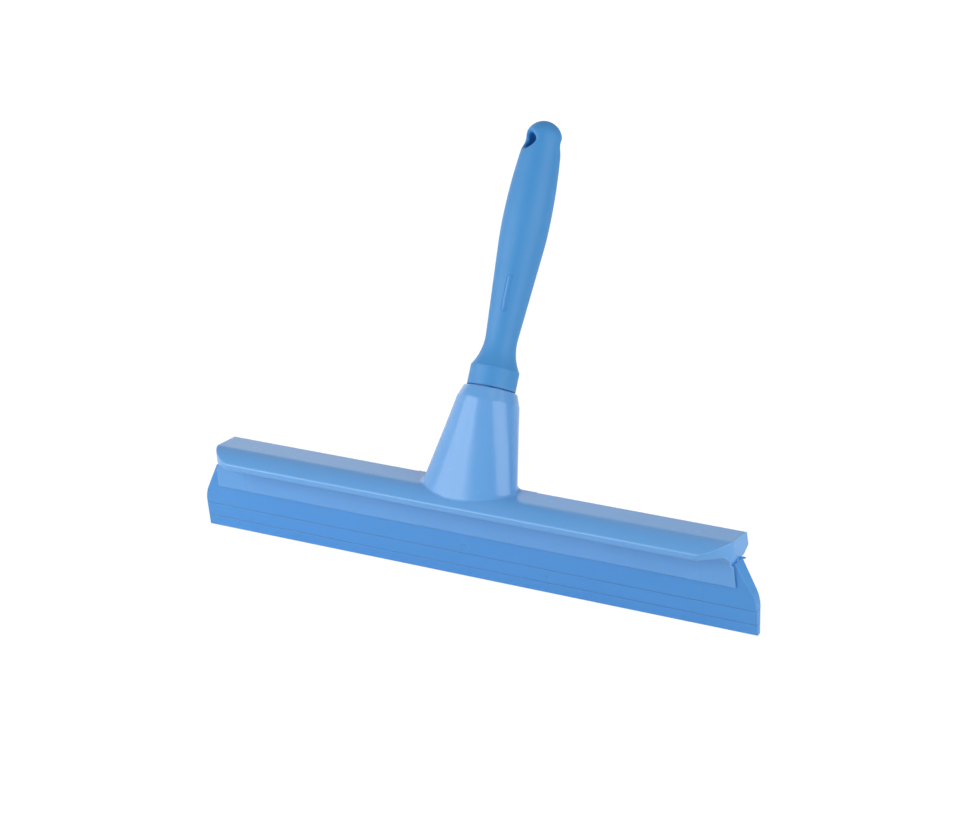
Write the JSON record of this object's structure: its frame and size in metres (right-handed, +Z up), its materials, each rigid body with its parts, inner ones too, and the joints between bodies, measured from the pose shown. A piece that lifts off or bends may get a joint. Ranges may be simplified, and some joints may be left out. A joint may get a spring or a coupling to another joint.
{
  "type": "hand squeegee",
  "caption": "Hand squeegee with a long rigid bar, a soft wedge-shaped wiping blade and a leaning socket that takes a short screw-in handle with a hang hole.",
  "frame": {"origin": "middle of the blade's wiping edge, on the tip's flat face", "axes": "+X along the wiping edge, +Z up from the edge to the bar, -Y towards the front with the thin lip; the handle leans back towards +Y"},
  "size_m": [0.4, 0.1541, 0.2654],
  "materials": {
    "head_plastic": "injection-moulded light blue polypropylene with a satin gloss",
    "blade_rubber": "light blue thermoplastic elastomer with a smooth satin surface",
    "core_plastic": "light blue polypropylene with a satin gloss",
    "grip_rubber": "matte soft-touch blue thermoplastic elastomer"
  },
  "bodies": {
    "head": {"squeegee_head": "head_plastic", "wiping_blade": "blade_rubber"},
    "handle": {"handle_core": "core_plastic", "handle_grip": "grip_rubber"}
  },
  "joints": [
    {"name": "handle_unscrew", "type": "slide", "parent": "head", "child": "handle", "axis": [0, 0.5105, 0.8599], "range_m": [0, 0.04]}
  ]
}
